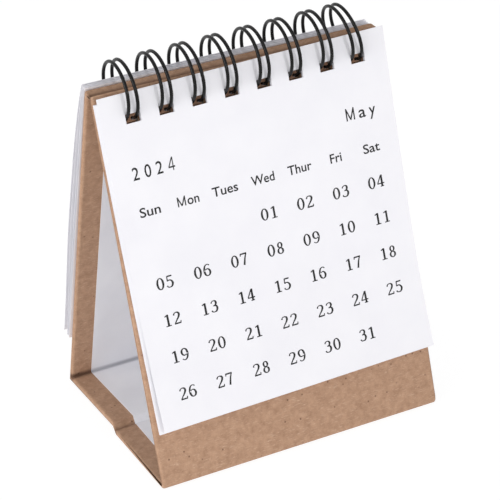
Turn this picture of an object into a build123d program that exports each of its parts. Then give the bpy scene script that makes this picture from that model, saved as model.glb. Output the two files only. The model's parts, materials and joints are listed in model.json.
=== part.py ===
import os
from math import atan2, cos, degrees, pi, radians, sin, sqrt, tan

from build123d import *

os.makedirs("parts", exist_ok=True)

# A small desk calendar: a folded card stand, leaves in front and turned over behind, and a twin-loop
# wire that binds them. X runs along the ridge, Y to the back and Z up, in millimetres. The origin is
# under the middle of the stand, on the table.

# Outside of the folded stand
width = 76.0
depth = 58.5
height = 92.6
ridge_width = 4.0
groove_depth = 0.8
groove_offset = 0.5
crease_gap = 1.6
crease_lift = 1.6
crease_seat = 0.3
corner_radius = 1.2

# Boards and papers of the stand
paper = 0.25
board = 1.0
lining = 0.2
hinge_clearance = 0.1
ridge_clearance = 0.2
hem_width = 9.0
hem_shown = 5.5

# Binding: a 3:1 twin-loop wire, in a row that was punched a little askew
pitch = 25.4 / 3
skew = radians(1.06)
ring_drop = 0.4
ring_radius = 7.0
wire_diameter = 0.85
leg_spacing = 2.5
bend_radius = 0.9
start_angle = 254.3
tip_clearance = 0.4
stub_length = 1.5

# Holes, measured down the panel from the ridge's edge
hole_width = 3.7
stand_hole_top = 4.8
stand_hole_foot = 7.45
leaf_hole_top = 4.35
leaf_hole_foot = 7.2

# Leaves, measured in the panel's plane and off its outer face
leaf_inset = 0.4
leaf_top = 0.1
foot_margin = 15.4
leaf_thickness = 0.2
leaf_gap = 0.3
joined_zone = 9.0
later_shift = 1.0
later_drop = 0.7
turned_shift = 0.9
turned_rise = 0.8

# What follows from these sizes: the leaves stop short of the panel's foot, and the wire has as many
# loops as the leaves have room for
lean = atan2((depth - ridge_width) / 2, height)
inner_face = paper + board
leaf_width = width - 2 * leaf_inset
leaf_length = height / cos(lean) - foot_margin
loop_count = int((leaf_width - hole_width) / pitch)


def panel_plane(side):
    # The outer face of the front (-1) or back (+1) panel from the ridge down, turned with the punched row
    up = Vector(0, -side * sin(lean), cos(lean))
    outward = Vector(0, side * cos(lean), sin(lean))
    row = Vector(1, 0, 0) * cos(skew) + up * sin(skew)
    return Plane(origin=(0, side * ridge_width / 2, height), x_dir=row * -side, z_dir=outward)


front = panel_plane(-1)
back = panel_plane(1)


def section(panel):
    # The plane across a panel: its x runs up the panel, its y stands off the outer face
    return Plane(origin=panel.origin, x_dir=panel.y_dir, z_dir=panel.x_dir)


def punch(panel, top, foot, reach):
    # Cuts the row of holes through whatever lies within reach of the panel's outer face
    with BuildSketch(panel) as holes:
        with Locations((0, -(top + foot) / 2)):
            with GridLocations(pitch, 1, loop_count, 1):
                Rectangle(hole_width, foot - top)
    extrude(holes.sketch, amount=reach, both=True, mode=Mode.SUBTRACT)


# Outline of the stand, seen from its end: corners of the outside, then of the boards' inner faces
toe = Vector(-depth / 2, 0)
heel = Vector(depth / 2, 0)
front_base_end = Vector(-crease_gap / 2, 0)
rear_base_end = Vector(crease_gap / 2, crease_lift)
front_ridge = Vector(-ridge_width / 2, height)
back_ridge = Vector(ridge_width / 2, height)
end_y = ridge_width / 2 - inner_face * cos(lean)
end_z = height - inner_face * sin(lean)

outside = [
    toe,
    front_base_end,
    rear_base_end,
    heel,
    back_ridge,
    Vector(end_y, end_z),
    Vector(-groove_offset, height - groove_depth),
    Vector(-end_y, end_z),
    front_ridge,
]


def inset_corner(before, corner, after, amount):
    # Where two sides of the outline meet once both have moved inwards
    arriving = (corner - before).normalized()
    leaving = (after - corner).normalized()
    first = Vector(-arriving.Y, arriving.X)
    second = Vector(-leaving.Y, leaving.X)
    return corner + (first + second) * (amount / (1 + first.dot(second)))


base_rise = crease_lift / ((depth - crease_gap) / 2)
apex_z = height - groove_depth - 2 * paper
apex_y = ridge_width / 2 - inner_face / cos(lean) + (height - apex_z) * tan(lean)
crease_foot = inset_corner(toe, front_base_end, rear_base_end, paper)
crease_run = (rear_base_end - front_base_end).normalized() * crease_seat
inside = [
    inset_corner(front_ridge, toe, front_base_end, inner_face),
    Vector(-crease_gap / 2 - paper, inner_face),
    crease_foot,
    crease_foot + crease_run,
    Vector(crease_gap / 2, crease_lift + inner_face * sqrt(1 + base_rise**2)),
    inset_corner(rear_base_end, heel, back_ridge, inner_face),
    Vector(apex_y, apex_z),
    Vector(-apex_y, apex_z),
]


def outside_face(amount):
    # The stand's whole end, with its two bottom corners rounded, less the papers' thickness all round
    with BuildSketch() as end:
        with BuildLine():
            Polyline(*outside, close=True)
        make_face()
        low_corners = [corner for corner in end.vertices() if abs(corner.X) > depth / 2 - corner_radius]
        fillet(low_corners, corner_radius)
        if amount:
            offset(amount=-amount, kind=Kind.INTERSECTION, mode=Mode.REPLACE)
    return end.sketch


def inside_face(amount):
    # The space between the boards, less the papers' thickness all round
    with BuildSketch() as space:
        with BuildLine():
            Polyline(*inside, close=True)
        make_face()
        if amount:
            offset(amount=-amount, kind=Kind.INTERSECTION, mode=Mode.REPLACE)
    return space.sketch


def inner_skin(near, far, low_x, high_x):
    # A sheet on the boards' inner faces, at both ends of the stand
    for side in (-1, 1):
        with BuildSketch(Plane.YZ.offset(side * low_x)) as skin:
            add(inside_face(near))
            add(inside_face(far), mode=Mode.SUBTRACT)
        extrude(skin.sketch, amount=side * (high_x - low_x))


# Kraft cover: one sheet outside, turned in round the boards' ends and folded down as hems
hem_x = width / 2 - hem_width
with BuildPart() as kraft_cover:
    with BuildSketch(Plane.YZ):
        add(outside_face(0))
        add(outside_face(paper), mode=Mode.SUBTRACT)
    extrude(amount=width / 2, both=True)
    for side in (-1, 1):
        with BuildSketch(Plane.YZ.offset(side * width / 2)):
            add(outside_face(0))
            add(inside_face(paper), mode=Mode.SUBTRACT)
        extrude(amount=-side * paper)
    inner_skin(0, paper, hem_x, width / 2)
    for panel in (front, back):
        punch(panel, stand_hole_top, stand_hole_foot, inner_face + 2 * paper + lining)
kraft_cover.part.label = "kraft_cover"
export_step(kraft_cover.part, "parts/kraft_cover.step")

# Lining: lies on the boards, steps up onto the hems and stops short of the stand's ends
with BuildPart() as lining_paper:
    with BuildSketch(Plane.YZ):
        add(inside_face(0))
        add(inside_face(lining), mode=Mode.SUBTRACT)
    extrude(amount=hem_x - lining, both=True)
    inner_skin(0, paper + lining, hem_x - lining, hem_x)
    inner_skin(paper, paper + lining, hem_x, width / 2 - hem_shown)
    for panel in (front, back):
        punch(panel, stand_hole_top, stand_hole_foot, inner_face + 2 * paper + lining)
lining_paper.part.label = "lining_paper"
export_step(lining_paper.part, "parts/lining_paper.step")


def hinge_cut(before, corner, after):
    # How far from a bottom corner two boards stop, so that their inner edges just clear each other
    one = before - corner
    other = after - corner
    opening = radians(one.get_angle(other))
    return inner_face / tan(opening / 2) + hinge_clearance


def board_plate(start, end, start_cut, end_cut):
    # A board under the cover from one corner of the outline to the next, cut short at both ends
    along = (end - start).normalized()
    inwards = Vector(-along.Y, along.X)
    first = start + along * start_cut
    last = end - along * end_cut
    with BuildSketch(Plane.YZ) as edge:
        with BuildLine():
            Polyline(
                first + inwards * paper,
                last + inwards * paper,
                last + inwards * inner_face,
                first + inwards * inner_face,
                close=True,
            )
        make_face()
    extrude(edge.sketch, amount=width / 2 - paper, both=True)


toe_cut = hinge_cut(front_ridge, toe, front_base_end)
heel_cut = hinge_cut(rear_base_end, heel, back_ridge)
ridge_cut = paper + ridge_clearance

with BuildPart() as front_board:
    board_plate(front_ridge, toe, ridge_cut, toe_cut)
    punch(front, stand_hole_top, stand_hole_foot, inner_face + paper)
front_board.part.label = "front_board"
export_step(front_board.part, "parts/front_board.step")

with BuildPart() as back_board:
    board_plate(heel, back_ridge, heel_cut, ridge_cut)
    punch(back, stand_hole_top, stand_hole_foot, inner_face + paper)
back_board.part.label = "back_board"
export_step(back_board.part, "parts/back_board.step")

with BuildPart() as base_front_board:
    board_plate(toe, front_base_end, toe_cut, paper)
base_front_board.part.label = "base_front_board"
export_step(base_front_board.part, "parts/base_front_board.step")

with BuildPart() as base_rear_board:
    board_plate(rear_base_end, heel, 0, heel_cut)
base_rear_board.part.label = "base_rear_board"
export_step(base_rear_board.part, "parts/base_rear_board.step")

# Twin-loop wire: one wire that runs along inside the stand and doubles out over the ridge at each hole
# The wire's section is a square with the round wire's area, so that its many bends stay light
ring = Plane(origin=(0, 0, height - ring_drop), x_dir=(0, 1, 0), z_dir=(cos(skew), 0, sin(skew)))
hairpin_radius = leg_spacing / 2
section_side = wire_diameter * sqrt(pi) / 2
tip_angle = start_angle + degrees((bend_radius + tip_clearance) / ring_radius)
end_angle = tip_angle + degrees(hairpin_radius / ring_radius) - 360


def ring_point(angle, along, beyond=0.0):
    # A point over the ring's axis, carried on along the tangent, towards falling angles, by `beyond`
    turn = radians(angle)
    across = ring_radius * cos(turn) + beyond * sin(turn)
    up = ring_radius * sin(turn) - beyond * cos(turn)
    return ring.from_local_coords(Vector(across, up, along))


def loop_leg(along):
    # One strand of a loop, out of the front hole, over the ridge and in at the back one
    ThreePointArc(
        ring_point(start_angle, along),
        ring_point((start_angle + end_angle) / 2, along),
        ring_point(end_angle, along),
    )


def corner_bend(along, side):
    # The quarter bend between the straight wire inside the stand and a strand at its side
    halfway = bend_radius * sin(radians(45))
    ThreePointArc(
        ring_point(start_angle, along + side * bend_radius, -bend_radius),
        ring_point(start_angle, along + side * (bend_radius - halfway), -halfway),
        ring_point(start_angle, along),
    )


with BuildPart() as binding_wire:
    row_start = -(loop_count - 1) * pitch / 2
    with BuildLine() as route:
        for i in range(loop_count):
            first_leg = row_start + i * pitch - hairpin_radius
            last_leg = first_leg + leg_spacing
            straight = stub_length if i == 0 else pitch - leg_spacing - 2 * bend_radius
            bar_end = first_leg - bend_radius
            Line(
                ring_point(start_angle, bar_end - straight, -bend_radius),
                ring_point(start_angle, bar_end, -bend_radius),
            )
            corner_bend(first_leg, -1)
            loop_leg(first_leg)
            ThreePointArc(
                ring_point(end_angle, first_leg),
                ring_point(end_angle, first_leg + hairpin_radius, hairpin_radius),
                ring_point(end_angle, last_leg),
            )
            loop_leg(last_leg)
            corner_bend(last_leg, 1)
        tail = last_leg + bend_radius
        Line(
            ring_point(start_angle, tail, -bend_radius),
            ring_point(start_angle, tail + stub_length, -bend_radius),
        )
    tangent = ring_point(start_angle, 0, 1) - ring_point(start_angle, 0)
    with BuildSketch(Plane(origin=route.line @ 0, x_dir=tangent, z_dir=ring.z_dir)):
        Rectangle(section_side, section_side)
    sweep(path=route.wires()[0])
binding_wire.part.label = "binding_wire"
export_step(binding_wire.part, "parts/binding_wire.step")


def curved_sheet(inner_points, thickness):
    # A sheet seen on edge: a smooth line down the panel, given its thickness off the panel
    outer_points = [(x, y + thickness) for x, y in inner_points]
    with BuildSketch() as edge:
        with BuildLine():
            Spline(*inner_points)
            Spline(*outer_points)
            Line(inner_points[0], outer_points[0])
            Line(inner_points[-1], outer_points[-1])
        make_face()
    return edge.sketch


# Front leaves: the month leaf bows in towards the stand and curls out again at its foot, over the
# later months' leaves. They are one block where the wire passes through.
leaf_foot = leaf_top - leaf_length
leaf_waist = leaf_top - 0.56 * leaf_length
month_bow = [
    (leaf_top, 1.87),
    (leaf_top - 0.19 * leaf_length, 1.57),
    (leaf_waist, 0.97),
    (leaf_top - 0.78 * leaf_length, 1.3),
    (leaf_foot, 2.65),
]
later_bow = 0.85
with BuildPart() as front_leaves:
    with BuildSketch(section(front).offset(-leaf_width / 2)):
        add(curved_sheet(month_bow, leaf_thickness))
    extrude(amount=leaf_width)
    with BuildSketch(section(front).offset(-leaf_width / 2 - later_shift)):
        with BuildLine():
            Polyline(
                (leaf_top - later_drop, month_bow[0][1] + leaf_thickness / 2),
                (leaf_top - later_drop, leaf_gap),
                (leaf_foot, leaf_gap),
                (leaf_foot, later_bow),
                (leaf_waist, later_bow),
                (-joined_zone, 1.75),
                close=True,
            )
        make_face()
    extrude(amount=leaf_width)
    punch(front, leaf_hole_top, leaf_hole_foot, ring_radius)
front_leaves.part.label = "front_leaves"
export_step(front_leaves.part, "parts/front_leaves.step")

# Turned leaves: they fan out behind the back panel from the block where the wire holds them
turned_stack = 1.9
sheet_feet = (0.35, 0.85, 1.45, 4.6)
turned_foot = leaf_foot + turned_rise
with BuildPart() as turned_leaves:
    with BuildSketch(section(back).offset(-leaf_width / 2 + turned_shift)):
        with BuildLine():
            Polyline(
                (leaf_top + turned_rise, leaf_gap),
                (leaf_top + turned_rise, leaf_gap + turned_stack / 2),
                (-joined_zone, leaf_gap + turned_stack),
                (-joined_zone, leaf_gap),
                close=True,
            )
        make_face()
        for i, foot_gap in enumerate(sheet_feet):
            top_gap = leaf_gap + i * (turned_stack - leaf_thickness) / (len(sheet_feet) - 1)
            belly = top_gap + (foot_gap - top_gap) * 0.75
            middle = (turned_foot - joined_zone) / 2
            bow = [(1 - joined_zone, top_gap), (middle, belly), (turned_foot, foot_gap)]
            add(curved_sheet(bow, leaf_thickness))
    extrude(amount=leaf_width)
    punch(back, leaf_hole_top, leaf_hole_foot, ring_radius)
turned_leaves.part.label = "turned_leaves"
export_step(turned_leaves.part, "parts/turned_leaves.step")
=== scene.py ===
import json
import math
import random

import bmesh
import bpy
from mathutils import Matrix, Vector


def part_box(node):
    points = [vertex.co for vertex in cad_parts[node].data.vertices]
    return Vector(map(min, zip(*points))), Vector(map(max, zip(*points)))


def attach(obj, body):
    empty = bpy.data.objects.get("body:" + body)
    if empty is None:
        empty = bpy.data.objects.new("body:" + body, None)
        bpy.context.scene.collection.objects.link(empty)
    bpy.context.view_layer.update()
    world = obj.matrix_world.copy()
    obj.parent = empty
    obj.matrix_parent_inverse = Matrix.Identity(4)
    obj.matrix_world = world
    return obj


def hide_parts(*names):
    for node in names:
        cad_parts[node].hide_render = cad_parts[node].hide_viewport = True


# A small desk calendar: kraft-covered card stand, twin-loop wire, month leaf in front and turned leaves
# behind. Metres; X along the ridge, Y to the back, Z up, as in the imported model.
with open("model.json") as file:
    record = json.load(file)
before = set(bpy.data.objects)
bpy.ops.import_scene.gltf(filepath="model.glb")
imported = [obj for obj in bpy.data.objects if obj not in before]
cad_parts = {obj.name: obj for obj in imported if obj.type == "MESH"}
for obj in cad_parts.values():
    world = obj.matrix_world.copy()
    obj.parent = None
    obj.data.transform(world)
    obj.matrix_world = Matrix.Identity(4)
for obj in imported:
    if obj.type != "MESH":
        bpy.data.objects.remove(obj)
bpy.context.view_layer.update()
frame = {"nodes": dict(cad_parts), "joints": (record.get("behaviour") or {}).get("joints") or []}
random.seed(5)
mm = 0.001

stand = {
    "ridgeWidth": 4.0 * mm,
    "skew": math.radians(1.06),
    "edgeRound": 0.75 * mm,
    "sag": 1.05 * mm,
    "holeWidth": 3.8 * mm,
    "holeTop": 4.8 * mm,
    "holeFoot": 7.45 * mm,
}
pitch = 25.4 / 3 * mm
loops = 8

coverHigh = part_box("kraft_cover")[1]
ridgeHeight = coverHigh.z
halfWidth = coverHigh.x
halfDepth = coverHigh.y
lean = math.atan2(halfDepth - stand["ridgeWidth"] / 2, ridgeHeight)


def deselectAll():
    if bpy.context.object and bpy.context.object.mode != "OBJECT":
        bpy.ops.object.mode_set(mode="OBJECT")
    bpy.ops.object.select_all(action="DESELECT")


def pick(piece):
    deselectAll()
    piece.select_set(True)
    bpy.context.view_layer.objects.active = piece


def editAll(piece):
    # Edit mode, with everything of the piece selected
    pick(piece)
    bpy.ops.object.mode_set(mode="EDIT")
    bpy.ops.mesh.select_all(action="SELECT")


def leaveEdit():
    bpy.ops.object.mode_set(mode="OBJECT")


def joined(pieces):
    deselectAll()
    for piece in pieces:
        piece.select_set(True)
    bpy.context.view_layer.objects.active = pieces[0]
    if len(pieces) > 1:
        bpy.ops.object.join()
    return bpy.context.object


def ownCopy(piece):
    # A copy with its own mesh
    twin = piece.copy()
    twin.data = piece.data.copy()
    bpy.context.scene.collection.objects.link(twin)
    return twin


def addRun(curve, places, closed=True):
    # A run of short straight lines through the places (x, y, z)
    run = curve.splines.new("POLY")
    run.points.add(len(places) - 1)
    for point, place in zip(run.points, places):
        point.co = (*place, 1)
    run.use_cyclic_u = closed


def filledCurve(name, outlines):
    # A flat shape, filled inside its outlines
    curve = bpy.data.curves.new(name, "CURVE")
    curve.dimensions = "2D"
    curve.fill_mode = "BOTH"
    for places in outlines:
        addRun(curve, places)
    return curve


def curveMesh(name, curve):
    piece = bpy.data.objects.new(name, curve)
    bpy.context.scene.collection.objects.link(piece)
    pick(piece)
    bpy.ops.object.convert(target="MESH")
    return bpy.context.object


def holeCentres():
    return [(i - (loops - 1) / 2) * pitch for i in range(loops)]


def panelAxes(side):
    # Origin, row, up and outward directions of the front (-1) or back (+1) panel, turned with the row
    rise = Vector((0, -side * math.sin(lean), math.cos(lean)))
    out = Vector((0, side * math.cos(lean), math.sin(lean)))
    row = Vector((math.cos(stand["skew"]), 0, 0)) + rise * math.sin(stand["skew"])
    up = out.cross(row) * -side
    return Vector((0, side * stand["ridgeWidth"] / 2, ridgeHeight)), row, up, out


def onPanel(side, u, v, off):
    origin, row, up, out = panelAxes(side)
    return origin + row * u + up * v + out * off


# materials


def paint(hexText):
    # sRGB hex to the linear colour that the shader works in
    values = [int(hexText[i : i + 2], 16) / 255 for i in (1, 3, 5)]
    return tuple(v / 12.92 if v <= 0.04045 else ((v + 0.055) / 1.055) ** 2.4 for v in values) + (1.0,)


def addNode(tree, kind, settings=None, inputs=None, links=None, stops=()):
    # One node with its settings, its socket values, what feeds it and a colour ramp's (position, colour) stops
    node = tree.nodes.new(kind)
    for name, value in (settings or {}).items():
        setattr(node, name, value)
    for name, value in (inputs or {}).items():
        node.inputs[name].default_value = value
    for name, source in (links or {}).items():
        tree.links.new(source, node.inputs[name])
    if stops:
        while len(node.color_ramp.elements) < len(stops):
            node.color_ramp.elements.new(0.5)
        for element, (position, colour) in zip(node.color_ramp.elements, stops):
            element.position = position
            element.color = colour
    return node


def startMaterial(name):
    material = bpy.data.materials.new(name)
    material.use_nodes = True
    tree = material.node_tree
    shader = tree.nodes["Principled BSDF"]
    place = addNode(tree, "ShaderNodeTexCoord").outputs["Object"]
    return material, tree, shader, place


def paintedFoldShade(tree, place, base, fold, reach, shade, strength):
    # Paints shade into the paper's colour around a fold that runs along X at (y, z), fading over the reach, all in
    # millimetres
    across = addNode(tree, "ShaderNodeVectorMath", {"operation": "MULTIPLY"}, {1: (0, 1, 1)}, {0: place})
    away = addNode(tree, "ShaderNodeVectorMath", {"operation": "DISTANCE"}, {1: (0, fold[0] * mm, fold[1] * mm)},
                   {0: across.outputs["Vector"]})
    amount = addNode(tree, "ShaderNodeMapRange", links={"Value": away.outputs["Value"]},
                     inputs={"From Min": reach[0] * mm, "From Max": reach[1] * mm, "To Min": strength, "To Max": 0.0})
    mixed = addNode(tree, "ShaderNodeMix", {"data_type": "RGBA"}, {"B": paint(shade)},
                    {"Factor": amount.outputs["Result"], "A": base})
    return mixed.outputs["Result"]


def makeKraftPaper():
    # Unbleached kraft paper pasted on board: dull brown, with long pale fibres, clouds and dark specks, and painted
    # shade at its folds
    look = {"pale": "#BD987D", "deep": "#A27E65", "fibre": "#C9A991", "speck": "#5E4030", "foldShadeColour": "#3F2416",
            "roughness": 0.85}
    # where the folds are (y, z), how far their painted shade reaches, and its strength: back foot, base crease, ridge
    folds = [((27.3, 1.75), (0.3, 1.5), 0.8), ((-0.7, 0.9), (0.2, 1.1), 0.5), ((-0.7, 91.3), (0.5, 1.5), 0.6)]
    material, tree, shader, place = startMaterial("kraftPaper")
    clouds = addNode(tree, "ShaderNodeTexNoise", inputs={"Scale": 560, "Detail": 8, "Roughness": 0.72},
                     links={"Vector": place}).outputs["Fac"]
    base = addNode(tree, "ShaderNodeValToRGB", links={"Fac": clouds},
                   stops=[(0.34, paint(look["deep"])), (0.66, paint(look["pale"]))]).outputs["Color"]
    # fibres about 1.5 mm long and 0.15 mm wide
    grain = addNode(tree, "ShaderNodeMapping", inputs={"Scale": (700, 5200, 5200)}, links={"Vector": place})
    fibres = addNode(tree, "ShaderNodeTexNoise", inputs={"Scale": 1.0, "Detail": 3, "Roughness": 0.7},
                     links={"Vector": grain.outputs["Vector"]}).outputs["Fac"]
    fibreMask = addNode(tree, "ShaderNodeValToRGB", links={"Fac": fibres},
                        stops=[(0.56, (0, 0, 0, 1)), (0.70, (1, 1, 1, 1))]).outputs["Color"]
    withFibres = addNode(tree, "ShaderNodeMix", {"data_type": "RGBA"},
                         {"B": paint(look["fibre"])}, {"Factor": fibreMask, "A": base})
    # one cell about every 2 mm, and a speck in the middle of the chosen ones
    cells = addNode(tree, "ShaderNodeTexVoronoi", inputs={"Scale": 520, "Randomness": 1.0}, links={"Vector": place})
    dots = addNode(tree, "ShaderNodeValToRGB", links={"Fac": cells.outputs["Distance"]},
                   stops=[(0.06, (0.8, 0.8, 0.8, 1)), (0.17, (0, 0, 0, 1))]).outputs["Color"]
    chosen = addNode(tree, "ShaderNodeValToRGB", links={"Fac": cells.outputs["Color"]},
                     stops=[(0.60, (0.15, 0.15, 0.15, 1)), (0.66, (1, 1, 1, 1))]).outputs["Color"]
    speckMask = addNode(tree, "ShaderNodeMath", {"operation": "MULTIPLY"}, links={0: dots, 1: chosen}).outputs[0]
    colour = addNode(tree, "ShaderNodeMix", {"data_type": "RGBA"},
                     {"B": paint(look["speck"])}, {"Factor": speckMask, "A": withFibres.outputs["Result"]})
    shaded = colour.outputs["Result"]
    # painted shade at the back foot's fold, the base crease and the ridge's front groove
    for fold, reach, strength in folds:
        shaded = paintedFoldShade(tree, place, shaded, fold, reach, look["foldShadeColour"], strength)
    tree.links.new(shaded, shader.inputs["Base Color"])
    bump = addNode(tree, "ShaderNodeBump", inputs={"Strength": 0.25, "Distance": 0.00006},
                   links={"Height": fibres})
    tree.links.new(bump.outputs["Normal"], shader.inputs["Normal"])
    shader.inputs["Roughness"].default_value = look["roughness"]
    shader.inputs["Specular IOR Level"].default_value = 0.3
    return material


def makeWhitePaper(name, pale, deep, roughness, foldShadeTone=None):
    # Uncoated white paper: nearly even, faintly cloudy, with a fine tooth, and with painted shade at the back foot's
    # fold when its colour is given
    material, tree, shader, place = startMaterial(name)
    clouds = addNode(tree, "ShaderNodeTexNoise", inputs={"Scale": 90, "Detail": 4, "Roughness": 0.5},
                     links={"Vector": place}).outputs["Fac"]
    colour = addNode(tree, "ShaderNodeValToRGB", links={"Fac": clouds},
                     stops=[(0.3, paint(deep)), (0.7, paint(pale))]).outputs["Color"]
    if foldShadeTone:
        # painted shade along the lining's fold at the back foot
        colour = paintedFoldShade(tree, place, colour, (27.0, 1.75), (0.2, 1.3), foldShadeTone, 0.7)
    tree.links.new(colour, shader.inputs["Base Color"])
    tooth = addNode(tree, "ShaderNodeTexNoise", inputs={"Scale": 4200, "Detail": 3, "Roughness": 0.6},
                    links={"Vector": place}).outputs["Fac"]
    bump = addNode(tree, "ShaderNodeBump", inputs={"Strength": 0.18, "Distance": 0.00004}, links={"Height": tooth})
    tree.links.new(bump.outputs["Normal"], shader.inputs["Normal"])
    shader.inputs["Roughness"].default_value = roughness
    shader.inputs["Specular IOR Level"].default_value = 0.25
    return material


def makeWireCoat():
    # Steel wire in a black nylon coat: near black, satin, with faint ripples along it
    material, tree, shader, place = startMaterial("blackNylonCoat")
    ripple = addNode(tree, "ShaderNodeTexNoise", inputs={"Scale": 1300, "Detail": 3, "Roughness": 0.6},
                     links={"Vector": place}).outputs["Fac"]
    colour = addNode(tree, "ShaderNodeValToRGB", links={"Fac": ripple},
                     stops=[(0.35, paint("#080808")), (0.75, paint("#131212"))]).outputs["Color"]
    tree.links.new(colour, shader.inputs["Base Color"])
    bump = addNode(tree, "ShaderNodeBump", inputs={"Strength": 0.25, "Distance": 0.00006}, links={"Height": ripple})
    tree.links.new(bump.outputs["Normal"], shader.inputs["Normal"])
    shader.inputs["Roughness"].default_value = 0.24
    shader.inputs["Specular IOR Level"].default_value = 0.2
    return material


def makeInk():
    # Offset printing ink on uncoated paper: soft black, slightly uneven
    material, tree, shader, place = startMaterial("printingInk")
    uneven = addNode(tree, "ShaderNodeTexNoise", inputs={"Scale": 2500, "Detail": 2}, links={"Vector": place})
    colour = addNode(tree, "ShaderNodeValToRGB", links={"Fac": uneven.outputs["Fac"]},
                     stops=[(0.3, paint("#121213")), (0.8, paint("#262628"))]).outputs["Color"]
    tree.links.new(colour, shader.inputs["Base Color"])
    shader.inputs["Roughness"].default_value = 0.6
    shader.inputs["Specular IOR Level"].default_value = 0.3
    return material


def makeGreyboard():
    # Recycled greyboard, cut edge: grey-brown with short fibres
    material, tree, shader, place = startMaterial("greyboardCut")
    fibres = addNode(tree, "ShaderNodeTexNoise", inputs={"Scale": 1800, "Detail": 5, "Roughness": 0.7},
                     links={"Vector": place}).outputs["Fac"]
    colour = addNode(tree, "ShaderNodeValToRGB", links={"Fac": fibres},
                     stops=[(0.3, paint("#7B7468")), (0.7, paint("#A49C8E"))]).outputs["Color"]
    tree.links.new(colour, shader.inputs["Base Color"])
    shader.inputs["Roughness"].default_value = 0.9
    return material


kraftPaper = makeKraftPaper()
leafPaper = makeWhitePaper("uncoatedLeafPaper", "#F5F4F8", "#F1F0F5", 0.62)
# the lining's last colour is the grey of its painted fold shade
liningPaper = makeWhitePaper("liningPaper", "#F4F4F8", "#EDEDF2", 0.7, "#8E8E98")
blackCoat = makeWireCoat()
ink = makeInk()
greyboard = makeGreyboard()
print("materials made")


def finishPiece(piece, material, body, nodes=(), angle=30):
    pick(piece)
    piece.data.materials.clear()
    piece.data.materials.append(material)
    bpy.ops.object.shade_smooth_by_angle(angle=math.radians(angle))
    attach(piece, body)
    if nodes:
        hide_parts(*nodes)
    return piece


# the stand's cover: one outline across the stand, drawn as a flat curve and given its width


def softCorners(corners, steps=4):
    # Rounds each corner (y, z, radius) of a closed outline
    points = []
    for i, (y, z, radius) in enumerate(corners):
        here = Vector((y, z))
        if not radius:
            points.append(here)
            continue
        before = (Vector(corners[i - 1][:2]) - here).normalized()
        after = (Vector(corners[(i + 1) % len(corners)][:2]) - here).normalized()
        half = before.angle(after) / 2
        reach = radius / math.tan(half)
        centre = here + (before + after).normalized() * (radius / math.sin(half))
        first = here + before * reach - centre
        last = here + after * reach - centre
        for k in range(steps + 1):
            points.append(centre + first.lerp(last, k / steps).normalized() * radius)
    return points


def shrunk(corners, amount):
    # The same outline with every side moved to its left by amount
    moved = []
    for i, (y, z, radius) in enumerate(corners):
        here = Vector((y, z))
        arrive = (here - Vector(corners[i - 1][:2])).normalized()
        leave = (Vector(corners[(i + 1) % len(corners)][:2]) - here).normalized()
        first = Vector((-arrive.y, arrive.x))
        second = Vector((-leave.y, leave.x))
        corner = here + (first + second) * (amount / (1 + first.dot(second)))
        moved.append((corner.x, corner.y, radius))
    return moved


coverOutline = [
    (-29.25, 0, 1.3), (-0.8, 0, 0.25), (0.8, 1.6, 0.25), (29.25, 0, 0.5), (2.0, 92.55, 0.6),
    (1.2, 92.6, 0), (0.6, 92.62, 0), (0.0, 92.63, 0), (-0.5, 92.62, 0), (-0.9, 92.6, 0), (-1.25, 92.58, 0),
    (-1.5, 92.56, 0), (-2.0, 92.5, 0.3),
]
insideOutline = [
    (-27.85, 1.25, 0.3), (-1.05, 1.25, 0.2), (-0.75, 0.45, 0.12), (0.8, 2.85, 0.3),
    (27.55, 1.35, 0.3), (1.08, 91.3, 0.2), (-1.3, 91.3, 0.2),
]
hemThickness = 0.25


def outlinePiece(name, outlines, reach):
    # The outlines (y, z) as a filled flat curve, given a width along X
    curve = filledCurve(name, [[(place.x * mm, place.y * mm, 0) for place in softCorners(corners)]
                               for corners in outlines])
    curve.extrude = reach
    piece = curveMesh(name, curve)
    # the curve's x, y and z become the stand's Y, Z and X
    piece.data.transform(Matrix(((0, 0, 1, 0), (1, 0, 0, 0), (0, 1, 0, 0), (0, 0, 0, 1))))
    editAll(piece)
    bpy.ops.mesh.remove_doubles(threshold=0.000004)
    bpy.ops.mesh.normals_make_consistent(inside=False)
    leaveEdit()
    return piece


def holeCutters(width, top, foot, depthIn, depthOut):
    # One box for each hole of both panels, joined
    boxes = []
    for side in (-1, 1):
        for centre in holeCentres():
            deselectAll()
            bpy.ops.mesh.primitive_cube_add(size=1)
            box = bpy.context.object
            for vert in box.data.vertices:
                u = centre + vert.co.x * width
                v = -(top + foot) / 2 + vert.co.y * (foot - top)
                off = -depthIn if vert.co.z < 0 else depthOut
                vert.co = onPanel(side, u, v, off)
            boxes.append(box)
    cutters = joined(boxes)
    editAll(cutters)
    bpy.ops.mesh.normals_make_consistent(inside=False)
    leaveEdit()
    return cutters


def cutHoles(piece, cutter):
    pick(piece)
    modifier = piece.modifiers.new("holes", "BOOLEAN")
    modifier.operation = "DIFFERENCE"
    modifier.object = cutter
    bpy.ops.object.modifier_apply(modifier=modifier.name)


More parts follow.
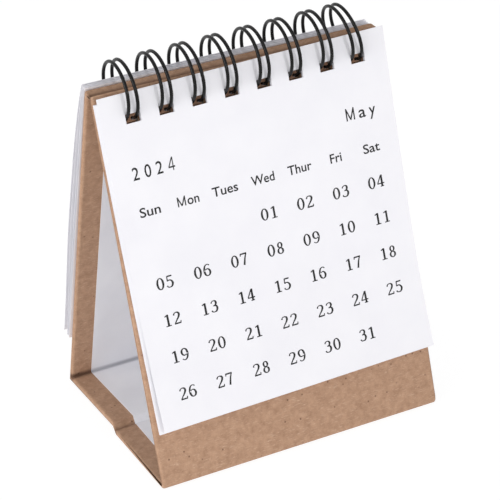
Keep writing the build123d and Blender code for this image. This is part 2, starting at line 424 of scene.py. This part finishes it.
def roundEnds(piece, rim):
    # Rounds the rim of both ends: slices near the ends, drawn in by more towards the end
    slices = 4
    editAll(piece)
    for side in (-1, 1):
        for step in range(slices):
            bpy.ops.mesh.select_all(action="SELECT")
            place = halfWidth - rim + rim * math.sin(math.radians(90 / slices * step))
            bpy.ops.mesh.bisect(plane_co=(side * place, 0, 0), plane_no=(1, 0, 0), threshold=0.000002)
    mesh = bmesh.from_edit_mesh(piece.data)
    moves = []
    for vert in mesh.verts:
        beyond = abs(vert.co.x) - (halfWidth - rim)
        normals = [face.normal.copy() for face in vert.link_faces if abs(face.normal.x) < 0.3]
        if beyond < 0.001 * mm or not normals:
            continue
        out = sum(normals, Vector()).normalized()
        inset = rim * (1 - math.sqrt(max(0, 1 - (beyond / rim) ** 2)))
        # the base's middle crease is thin, so its rim is drawn in less
        thick = min(1, max(0.2, (math.hypot(vert.co.y, vert.co.z - 1 * mm) - 1.5 * mm) / (2.5 * mm)))
        moves.append((vert, out * (-inset * thick / max(0.5, out.dot(normals[0])))))
    for vert, move in moves:
        vert.co += move
    bmesh.update_edit_mesh(piece.data)
    leaveEdit()


def pressRidge(piece):
    # The paper over the ridge sags: steeply at the front board's edge, then rising slowly to the back
    front, back = 1.62, 1.8
    for vert in piece.data.vertices:
        y, z = vert.co.y / mm, vert.co.z / mm
        if z > 92.2 and -front < y < back:
            wall = min(1, (y + front) / 0.4)
            slope = min(1, (back - y) / 2.7)
            ends = min(1, (halfWidth - abs(vert.co.x)) / stand["edgeRound"])
            vert.co.z -= stand["sag"] * wall * slope ** 1.3 * ends


cover = outlinePiece("standCover", [coverOutline, shrunk(insideOutline, hemThickness)], halfWidth)
cutter = holeCutters(stand["holeWidth"], stand["holeTop"], stand["holeFoot"], 3 * mm, 1 * mm)
cutHoles(cover, cutter)
roundEnds(cover, stand["edgeRound"])
pressRidge(cover)

# the lining lies on the boards inside the hems, and stops below the ridge
liningSheet = {"reach": 32.5 * mm, "under": 0.01, "over": 0.13, "top": 80 * mm}
faces = [shrunk(insideOutline, hemThickness + liningSheet[face]) for face in ("under", "over")]
lining = outlinePiece("standLining", faces, liningSheet["reach"])
editAll(lining)
bpy.ops.mesh.bisect(plane_co=(0, 0, liningSheet["top"]), plane_no=(0, 0, 1), clear_outer=True, use_fill=True)
leaveEdit()
bpy.data.objects.remove(cutter)
finishPiece(cover, kraftPaper, "stand", ["kraft_cover"])
finishPiece(lining, liningPaper, "stand", ["lining_paper"])
for name in ("front_board", "back_board", "base_front_board", "base_rear_board"):
    board = frame["nodes"][name]
    board.data.materials.clear()
    board.data.materials.append(greyboard)
print("stand made")

# the wire: one path through all the loops, given a round section

wire = {
    "radius": 0.425 * mm,
    "ringRadius": 7.0 * mm,
    "legSpacing": 2.5 * mm,
    "bend": 0.9 * mm,
    "startAngle": 254.3,
    "endAngle": -84.9,
    "stub": 1.5 * mm,
    "pinch": 0.022,
    "sag": 0.6 * mm,
    "sagReach": 0.3,
    "frontHole": 232,  # the angle at which a strand turns in at its front hole
    "holeBelow": 5.7 * mm,
}
# how far each loop leans to the left of its holes, per height above them
loopLean = [0.028, 0.025, 0.05, 0.052, 0.045, 0.075, 0.088, 0.19]
ringAxis = Vector(frame["joints"][0]["axis"]).normalized()
ringCentre = Vector(frame["joints"][0]["pos_m"])
ringUp = ringAxis.cross(Vector((0, 1, 0))).normalized()
ringBack = ringUp.cross(ringAxis).normalized()


def radial(angle):
    turn = math.radians(angle)
    return ringBack * math.cos(turn) + ringUp * math.sin(turn)


def forward(angle):
    # Along the wire towards falling angles
    turn = math.radians(angle)
    return ringBack * math.sin(turn) - ringUp * math.cos(turn)


def onRing(angle, along, beyond=0.0):
    return ringCentre + ringAxis * along + radial(angle) * wire["ringRadius"] + forward(angle) * beyond


def leaning(point):
    # A strand's point moved with its loop's lean, a little narrower towards the top, and let down where it
    # turns in at the front holes
    arm = point - ringCentre
    along, rise = arm.dot(ringAxis), arm.dot(ringUp)
    height = max(0, rise + wire["holeBelow"])
    loop = min(loops - 1, max(0, round(along / pitch + (loops - 1) / 2)))
    inward = wire["pinch"] * (holeCentres()[loop] - along) / (wire["legSpacing"] / 2)
    atHole = radial(wire["frontHole"])
    nearHole = math.exp(-(((arm.normalized() - atHole).length) / wire["sagReach"]) ** 2)
    return point + ringAxis * height * (inward - loopLean[loop]) + atHole * wire["sag"] * nearHole


def wirePath():
    # Points along the whole wire, close together in its bends
    points = []

    def arc(centre, start, axis, angle, steps):
        arm = start - centre
        for k in range(steps + 1):
            points.append(centre + Matrix.Rotation(angle * k / steps, 3, axis) @ arm)

    for centre in holeCentres():
        first = centre - wire["legSpacing"] / 2
        last = centre + wire["legSpacing"] / 2
        begin, end = wire["startAngle"], wire["endAngle"]
        if not points:
            points.append(onRing(begin, first - wire["bend"] - wire["stub"], -wire["bend"]))
        arc(onRing(begin, first - wire["bend"]), onRing(begin, first - wire["bend"], -wire["bend"]),
            radial(begin), -math.pi / 2, 8)
        sweep = math.radians(begin - end)
        arc(ringCentre + ringAxis * first, onRing(begin, first), ringAxis, -sweep, 60)
        arc(onRing(end, centre), onRing(end, first), radial(end), -math.pi, 14)
        arc(ringCentre + ringAxis * last, onRing(end, last), ringAxis, sweep, 60)
        arc(onRing(begin, last + wire["bend"]), onRing(begin, last), radial(begin), -math.pi / 2, 8)
    points.append(points[-1] + ringAxis * wire["stub"])
    return points


def makeWire():
    curve = bpy.data.curves.new("bindingWire", "CURVE")
    curve.dimensions = "3D"
    curve.bevel_depth = wire["radius"]
    curve.bevel_resolution = 4
    curve.use_fill_caps = True
    kept = []
    for point in wirePath():
        if not kept or (point - kept[-1]).length > 0.01 * mm:
            kept.append(point)
    addRun(curve, [leaning(point) for point in kept], closed=False)
    return curveMesh("bindingWire", curve)


bindingWire = makeWire()
finishPiece(bindingWire, blackCoat, "stand", ["binding_wire"], angle=60)
print("wire made,", len(bindingWire.data.polygons), "faces")

# the leaves: flat punched ones, copied and bowed for each

leaf = {
    "width": 75.2 * mm,
    "top": 0.1 * mm,
    "length": 81.1 * mm,
    "holeWidth": 3.8 * mm,
    "holeShift": 0.1 * mm,
    "holeTop": 4.35 * mm,
    "holeFoot": 7.2 * mm,
    "thickness": 0.1 * mm,
}


def flatLeaf(slide=0.0, drop=0.0, turn=0.0, shorter=0.0):
    # A punched leaf lying flat: its edges may be cut a little off the row of holes
    deselectAll()
    bpy.ops.mesh.primitive_grid_add(x_subdivisions=24, y_subdivisions=36, size=1)
    sheet = bpy.context.object
    bpy.ops.object.mode_set(mode="EDIT")
    bpy.ops.mesh.select_all(action="SELECT")
    length = leaf["length"] - shorter * mm
    bpy.ops.transform.resize(value=(leaf["width"], length, 1))
    bpy.ops.transform.translate(value=(slide * mm, leaf["top"] + drop * mm - length / 2, 0))
    if turn:
        middleOfHoles = (0, -6 * mm, 0)
        bpy.ops.transform.rotate(value=turn, orient_axis="Z", center_override=middleOfHoles)
    for level in (leaf["holeTop"], leaf["holeFoot"]):
        bpy.ops.mesh.select_all(action="SELECT")
        bpy.ops.mesh.bisect(plane_co=(0, -level, 0), plane_no=(0, 1, 0))
    for centre in holeCentres():
        for side in (-1, 1):
            bpy.ops.mesh.select_all(action="SELECT")
            edge = centre + leaf["holeShift"] + side * leaf["holeWidth"] / 2
            bpy.ops.mesh.bisect(plane_co=(edge, 0, 0), plane_no=(1, 0, 0))
    mesh = bmesh.from_edit_mesh(sheet.data)
    bpy.ops.mesh.select_all(action="DESELECT")
    for face in mesh.faces:
        middle = face.calc_center_median()
        inRow = -leaf["holeFoot"] < middle.y < -leaf["holeTop"]
        beside = [abs(middle.x - centre - leaf["holeShift"]) for centre in holeCentres()]
        face.select = inRow and min(beside) < leaf["holeWidth"] / 2
    bmesh.update_edit_mesh(sheet.data)
    bpy.ops.mesh.delete(type="FACE")
    leaveEdit()
    return sheet


# how the month leaf hangs: bowed in at its waist, in millimetres of the panel
bow = {"waist": -45, "off": 1.14, "top": 0.93, "foot": 1.74, "footOver": 37, "ripple": 0.05}
# the front leaves look a little narrower towards the foot, more so at the right edge
narrow = {"over": 65, "by": 0.013, "toLeft": 0.35}


def monthOff(u, v):
    # How far the month leaf's outer face stands off the panel
    if v > bow["waist"]:
        off = bow["off"] + bow["top"] * ((v - bow["waist"]) / -bow["waist"]) ** 1.6
    else:
        off = bow["off"] + bow["foot"] * ((bow["waist"] - v) / bow["footOver"]) ** 2.2
    return off + bow["ripple"] * math.sin(u / 11 + v / 19)


def drawnIn(u, v):
    down = min(1, max(0, -v / narrow["over"]))
    return u * (1 - narrow["by"] * down) - narrow["toLeft"] * down


def hangLeaf(name, sheet, side, off, shift=0.0, drop=0.0):
    piece = ownCopy(sheet)
    piece.name = name
    for vert in piece.data.vertices:
        u, v = vert.co.x / mm, vert.co.y / mm
        across = u + shift if side > 0 else drawnIn(u, v) + shift
        vert.co = onPanel(side, across * mm, (v + drop) * mm, off(u, v) * mm)
    if side > 0:
        editAll(piece)
        bpy.ops.mesh.flip_normals()
        leaveEdit()
    pick(piece)
    modifier = piece.modifiers.new("thickness", "SOLIDIFY")
    modifier.thickness = leaf["thickness"]
    modifier.offset = -1
    bpy.ops.object.modifier_apply(modifier=modifier.name)
    return piece


monthSheet = flatLeaf()
laterSheet = flatLeaf(slide=-0.7, drop=-0.6, shorter=0.65)
turnedSheet = flatLeaf(slide=-0.2, drop=-0.6, turn=0.029)
monthLeaf = hangLeaf("monthLeaf", monthSheet, -1, monthOff)
finishPiece(monthLeaf, leafPaper, "front_leaves", ["front_leaves"])
# the later leaves: a thin stack under the month leaf down to its waist, and straight on from there
laterStack = {"count": 7, "behind": 0.17, "closest": 0.34, "deep": 0.8, "ripple": 0.012, "drop": -0.65}
for i in range(laterStack["count"]):
    share = (i + 1) / laterStack["count"]

    def laterOff(u, v, share=share, i=i):
        outer = monthOff(u, max(v, bow["waist"])) - laterStack["behind"]
        inner = max(laterStack["closest"], outer - laterStack["deep"])
        return inner + (outer - inner) * share + laterStack["ripple"] * math.sin(u / 13 + i)

    later = hangLeaf(f"laterLeaf{i + 1}", laterSheet, -1, laterOff, random.uniform(-0.06, 0.06),
                     laterStack["drop"] + random.uniform(-0.06, 0.04))
    finishPiece(later, leafPaper, "front_leaves", ["front_leaves"])

# how far each turned leaf stands off the back panel: at its top, how far it swells, and at its foot
turnedFan = [
    {"top": 0.6, "swell": 0.2, "foot": 0.5},
    {"top": 1.05, "swell": 1.0, "foot": 1.0},
    {"top": 1.5, "swell": 2.1, "foot": 1.7},
    {"top": 2.0, "swell": 2.9, "foot": 3.6},
]
fanRun = {"swellOver": 14, "fallFrom": 42, "fallOver": 40}  # down the leaf
for i, fan in enumerate(turnedFan):

    def turnedOff(u, v, fan=fan):
        down = max(0, 1 - v)
        lower = min(1, max(0, (down - fanRun["fallFrom"]) / fanRun["fallOver"]))
        fallBack = lower * lower * (3 - 2 * lower)
        full = fan["top"] + fan["swell"]
        return full - fan["swell"] * math.exp(-down / fanRun["swellOver"]) + (fan["foot"] - full) * fallBack

    turned = hangLeaf(f"turnedLeaf{i + 1}", turnedSheet, 1, turnedOff, random.uniform(-0.06, 0.06), 0.3)
    finishPiece(turned, leafPaper, "turned_leaves", ["turned_leaves"])
for sheet in (monthSheet, laterSheet, turnedSheet):
    bpy.data.objects.remove(sheet)
print("leaves made")

# the print on the month leaf, in millimetres of the leaf

printing = {
    "lift": 0.02,
    "columns": 9.80,
    "middle": -0.14,
    "digitPitch": 2.44,
    "digitHeight": 2.94,
    "digitWide": 3.0,
    "weight": 1.15,
    "dateRows": (-36.98, -46.0, -55.0, -64.0, -73.1),
}


def flatShape(outlines):
    return curveMesh("shape", filledCurve("shape", [[(*place[:2], 0) for place in points] for points in outlines]))


def penStroke(points):
    # The outline of a smooth pen stroke through (x, y, pen width)
    run = []
    for i in range(len(points) - 1):
        p0, p1, p2, p3 = (Vector(points[min(len(points) - 1, max(0, i + k))]) for k in (-1, 0, 1, 2))
        steps = 1 if len(points) == 2 else 5
        for k in range(steps):
            t = k / steps
            run.append(0.5 * (2 * p1 + (p2 - p0) * t + (2 * p0 - 5 * p1 + 4 * p2 - p3) * t * t
                              + (3 * p1 - p0 - 3 * p2 + p3) * t ** 3))
    run.append(Vector(points[-1]))
    left, right = [], []
    for i, point in enumerate(run):
        along = (run[min(len(run) - 1, i + 1)] - run[max(0, i - 1)]).xy.normalized()
        across = Vector((-along.y, along.x)) * point.z * printing["weight"] / 2
        left.append(point.xy + across)
        right.append(point.xy - across)
    return left + right[::-1]


def ring(y, halfAcross, halfUp, thin, thick):
    # The two outlines of an oval, thick at its sides and thin above and below
    outlines = []
    for edge in (1, -1):
        acrossEdge, upEdge = (edge * size * printing["weight"] / 2 for size in (thick, thin))
        outlines.append([(math.cos(a) * (halfAcross + acrossEdge), y + math.sin(a) * (halfUp + upEdge))
                         for a in (math.tau * k / 28 for k in range(28))])
    return outlines


# serif numerals, one unit high and centred across: pen strokes through (x, y, pen width), or rings
six = [(0.23, 0.86, 0.09), (0.12, 0.955, 0.06), (-0.04, 0.945, 0.08), (-0.19, 0.78, 0.12), (-0.245, 0.48, 0.15),
       (-0.19, 0.17, 0.13), (-0.01, 0.035, 0.07), (0.17, 0.12, 0.12), (0.235, 0.31, 0.15), (0.16, 0.52, 0.11),
       (0.0, 0.60, 0.07), (-0.16, 0.52, 0.07), (-0.22, 0.42, 0.07)]
lowerBowl = [(0.15, 0.53, 0.11), (0.235, 0.32, 0.15), (0.14, 0.10, 0.12), (-0.03, 0.035, 0.07),
             (-0.19, 0.07, 0.08), (-0.27, 0.19, 0.11)]
penRuns = {
    "1": [[(0.03, 0.98, 0.15), (0.03, 0.03, 0.15)],
          [(-0.20, 0.03, 0.07), (0.26, 0.03, 0.07)],
          [(-0.21, 0.83, 0.08), (0.02, 0.95, 0.08)]],
    "2": [[(-0.25, 0.76, 0.11), (-0.19, 0.90, 0.08), (-0.02, 0.96, 0.07), (0.16, 0.89, 0.12), (0.20, 0.72, 0.15),
           (0.10, 0.51, 0.12), (-0.09, 0.28, 0.09), (-0.24, 0.07, 0.08)],
          [(-0.28, 0.05, 0.10), (0.27, 0.05, 0.10)],
          [(0.25, 0.02, 0.07), (0.28, 0.22, 0.07)]],
    "3": [[(-0.24, 0.79, 0.11), (-0.15, 0.92, 0.07), (0.01, 0.96, 0.07), (0.15, 0.89, 0.12), (0.18, 0.74, 0.15),
           (0.10, 0.60, 0.10), (-0.08, 0.535, 0.07)],
          [(-0.08, 0.535, 0.07)] + lowerBowl],
    "4": [[(0.11, 1.0, 0.15), (0.11, 0.03, 0.15)],
          [(-0.05, 0.03, 0.06), (0.27, 0.03, 0.06)],
          [(0.08, 0.98, 0.08), (-0.29, 0.30, 0.08)],
          [(-0.32, 0.28, 0.08), (0.32, 0.28, 0.08)]],
    "5": [[(-0.20, 0.945, 0.10), (0.23, 0.945, 0.10)],
          [(-0.18, 0.97, 0.08), (-0.20, 0.56, 0.08)],
          [(-0.21, 0.56, 0.07), (-0.03, 0.62, 0.08)] + lowerBowl],
    "6": [six],
    "7": [[(-0.28, 0.94, 0.11), (0.28, 0.94, 0.11)],
          [(-0.26, 0.97, 0.07), (-0.28, 0.77, 0.07)],
          [(0.25, 0.94, 0.08), (0.10, 0.58, 0.11), (-0.04, 0.0, 0.14)]],
    "9": [[(-x, 1 - y, width) for x, y, width in six]],
}
numerals = {digit: [[penStroke(run)] for run in runs] for digit, runs in penRuns.items()}
numerals["0"] = [ring(0.5, 0.245, 0.465, 0.07, 0.15)]
numerals["8"] = [ring(0.745, 0.17, 0.215, 0.07, 0.13), ring(0.265, 0.215, 0.235, 0.07, 0.14)]


def writeText(words, left, right, middle, capHeight, bold=0.0):
    # A line of type as flat mesh in leaf millimetres, from left to right, its capitals centred on middle
    deselectAll()
    bpy.ops.object.text_add()
    text = bpy.context.object
    text.data.body = words
    text.data.offset = bold
    text.data.resolution_u = 4
    bpy.ops.object.convert(target="MESH")
    text = bpy.context.object
    low = min(vert.co.x for vert in text.data.vertices)
    high = max(vert.co.x for vert in text.data.vertices)
    for vert in text.data.vertices:
        across = left + (vert.co.x - low) / (high - low) * (right - left)
        vert.co = Vector((across, middle + vert.co.y * capHeight / 0.73 - capHeight / 2, 0))
    return text


def printPiece(name, texts):
    piece = joined(texts)
    piece.name = name
    for vert in piece.data.vertices:
        u, v = vert.co.x, vert.co.y
        vert.co = onPanel(-1, u * mm, v * mm, (monthOff(u, v) + printing["lift"]) * mm)
    return finishPiece(piece, ink, "front_leaves")


# sans letters that close up when the built-in ones are made bolder, as straight pen strokes (x, y, x, y)
penWidth = 0.1
penLetters = {
    "M": [(0.05, 0, 0.05, 1), (0.05, 0.95, 0.4, 0.06), (0.75, 0.95, 0.4, 0.06), (0.75, 0, 0.75, 1)],
    "4": [(0.56, 0, 0.56, 1), (0.53, 0.97, 0.05, 0.30), (0.0, 0.27, 0.8, 0.27)],
}
letters = {name: joined([flatShape([penStroke([(x0, y0, penWidth), (x1, y1, penWidth)])])
                         for x0, y0, x1, y1 in strokes])
           for name, strokes in penLetters.items()}


def writeLetter(name, left, right, middle, capHeight):
    letter = ownCopy(letters[name])
    for vert in letter.data.vertices:
        vert.co = Vector((left + vert.co.x / 0.8 * (right - left), middle + (vert.co.y - 0.5) * capHeight, 0))
    return letter


yearLine = {"middle": -18.9, "height": 3.2, "halfWide": 0.82, "bold": 0.006, "centres": (-31.55, -28.45, -25.5),
            "four": (-23.25, -21.55)}
monthLine = {"middle": -18.94, "height": 3.06, "bold": 0.008, "M": (24.11, 26.42), "a": (27.57, 29.46),
             "y": (30.45, 32.2)}
weekdayLine = {"middle": -28.28, "height": 2.36, "bold": 0.012, "M": (-22.69, -20.6)}
weekdays = {"Sun": (-32.38, -27.12), "on": (-20.15, -17.11), "Tues": (-13.63, -6.9), "Wed": (-3.27, 2.87),
            "Thur": (6.54, 12.95), "Fri": (18.05, 21.18), "Sat": (27.22, 31.77)}
yearSize = (yearLine["middle"], yearLine["height"])
printPiece("yearPrint", [writeText(digit, centre - yearLine["halfWide"], centre + yearLine["halfWide"], *yearSize,
                                   yearLine["bold"]) for digit, centre in zip("202", yearLine["centres"])]
           + [writeLetter("4", *yearLine["four"], *yearSize)])
monthSize = (monthLine["middle"], monthLine["height"])
printPiece("monthPrint", [writeLetter("M", *monthLine["M"], *monthSize)]
           + [writeText(word, *monthLine[word], *monthSize, monthLine["bold"]) for word in "ay"])
weekdaySize = (weekdayLine["middle"], weekdayLine["height"])
printPiece("weekdayPrint", [writeLetter("M", *weekdayLine["M"], *weekdaySize)]
           + [writeText(word, left, right, *weekdaySize, weekdayLine["bold"])
              for word, (left, right) in weekdays.items()])
for letter in letters.values():
    bpy.data.objects.remove(letter)
glyphs = {digit: joined([flatShape(outlines) for outlines in shapes]) for digit, shapes in numerals.items()}
firstColumn = 3  # the first day stands under the fourth weekday
dates = []
for day in range(1, 32):
    place = day - 1 + firstColumn
    u = printing["middle"] + printing["columns"] * (place % 7 - 3)
    for digit, side in zip(f"{day:02d}", (-0.5, 0.5)):
        glyph = ownCopy(glyphs[digit])
        for vert in glyph.data.vertices:
            vert.co = Vector((u + side * printing["digitPitch"] + vert.co.x * printing["digitWide"],
                              printing["dateRows"][place // 7] + (vert.co.y - 0.5) * printing["digitHeight"], 0))
        dates.append(glyph)
printPiece("datePrint", dates)
for glyph in glyphs.values():
    bpy.data.objects.remove(glyph)
print("print made")

# the floor, the lights and the camera

floorLook = {"size": 6, "colour": (0.86, 0.86, 0.87, 1), "glow": 1.12, "seenShade": 0.2, "litGlow": 0.6}
deselectAll()
bpy.ops.mesh.primitive_plane_add(size=floorLook["size"])
floor = bpy.context.object
floor.name = "floor"
paleFloor = bpy.data.materials.new("paleFloor")
paleFloor.use_nodes = True
tree = paleFloor.node_tree
tree.nodes.clear()
rays = addNode(tree, "ShaderNodeLightPath")
plain = addNode(tree, "ShaderNodeBsdfDiffuse", inputs={"Color": floorLook["colour"]})
glow = addNode(tree, "ShaderNodeEmission", inputs={"Color": (1, 1, 1, 1), "Strength": floorLook["glow"]})
# the camera sees a near-white floor with the object's shadow, and the object is lit by a part of its glow
seenFloor = addNode(tree, "ShaderNodeMixShader", inputs={"Fac": floorLook["seenShade"]},
                    links={1: glow.outputs["Emission"], 2: plain.outputs["BSDF"]})
litFloor = addNode(tree, "ShaderNodeMixShader", inputs={"Fac": floorLook["litGlow"]},
                   links={1: plain.outputs["BSDF"], 2: glow.outputs["Emission"]})
bothFloors = addNode(tree, "ShaderNodeMixShader",
                     links={"Fac": rays.outputs["Is Camera Ray"], 1: litFloor.outputs["Shader"],
                            2: seenFloor.outputs["Shader"]})
addNode(tree, "ShaderNodeOutputMaterial", links={"Surface": bothFloors.outputs["Shader"]})
floor.data.materials.append(paleFloor)

studio = {
    "sky": 0.69,
    "horizon": 1.1,
    "zenith": 0.7,
    "aim": (0, 0, 0.045),
    "lamps": {  # place, size and energy
        "keyLamp": ((0.1, -0.9, 0.27), 0.08, 1.4),
        "fillLamp": ((-0.66, -0.5, 0.32), 0.5, 0.9),
        "sideLamp": ((-0.8, -0.1, 0.22), 0.4, 2.35),
    },
}
world = bpy.data.worlds.new("studio")
bpy.context.scene.world = world
world.use_nodes = True
tree = world.node_tree
tree.nodes.clear()
rays = addNode(tree, "ShaderNodeLightPath")
eye = addNode(tree, "ShaderNodeMath", {"operation": "MAXIMUM"},
              links={0: rays.outputs["Is Camera Ray"], 1: rays.outputs["Is Glossy Ray"]})
either = addNode(tree, "ShaderNodeMath", {"operation": "MAXIMUM"},
                 links={0: eye.outputs[0], 1: rays.outputs["Is Transmission Ray"]})
# the soft light comes more from the sides than from above
towards = addNode(tree, "ShaderNodeSeparateXYZ",
                  links={"Vector": addNode(tree, "ShaderNodeTexCoord").outputs["Generated"]})
fade = addNode(tree, "ShaderNodeMapRange", links={"Value": towards.outputs["Z"]},
               inputs={"To Min": studio["sky"] * studio["horizon"], "To Max": studio["sky"] * studio["zenith"]})
sky = addNode(tree, "ShaderNodeBackground", inputs={"Color": (1, 1, 1, 1)},
              links={"Strength": fade.outputs["Result"]})
white = addNode(tree, "ShaderNodeBackground", inputs={"Color": (1, 1, 1, 1), "Strength": 1.0})
both = addNode(tree, "ShaderNodeMixShader", links={"Fac": either.outputs[0], 1: sky.outputs["Background"],
                                                   2: white.outputs["Background"]})
addNode(tree, "ShaderNodeOutputWorld", links={"Surface": both.outputs["Shader"]})

for name, (place, size, energy) in studio["lamps"].items():
    deselectAll()
    bpy.ops.object.light_add(type="AREA", location=place)
    lamp = bpy.context.object
    lamp.name = name
    lamp.data.shape = "DISK"
    lamp.data.size = size
    lamp.data.energy = energy
    lamp.rotation_euler = (Vector(studio["aim"]) - Vector(place)).to_track_quat("-Z", "Y").to_euler()

photoCamera = {
    "azimuth": math.radians(-25.993),
    "elevation": math.radians(28.627),
    "roll": math.radians(-2.409),
    "distance": 523.31 * mm,
    "target": Vector((1.592, 0, 40.844)) * mm,
    "lens": 152.65,
    "sensor": 36,
}
bpy.ops.object.camera_add()
camera = bpy.context.object
camera.data.lens = photoCamera["lens"]
camera.data.sensor_width = photoCamera["sensor"]
camera.data.clip_start = 0.01
az, el, roll = photoCamera["azimuth"], photoCamera["elevation"], photoCamera["roll"]
back = Vector((math.sin(az) * math.cos(el), -math.cos(az) * math.cos(el), math.sin(el)))
right = Vector((0, 0, 1)).cross(back).normalized()
above = back.cross(right)
turnedRight = right * math.cos(roll) + above * math.sin(roll)
turnedAbove = above * math.cos(roll) - right * math.sin(roll)
axes = Matrix((turnedRight, turnedAbove, back)).transposed().to_4x4()
axes.translation = photoCamera["target"] + back * photoCamera["distance"]
camera.matrix_world = axes
bpy.context.scene.camera = camera
bpy.context.scene.view_settings.view_transform = "Standard"
print("studio set")
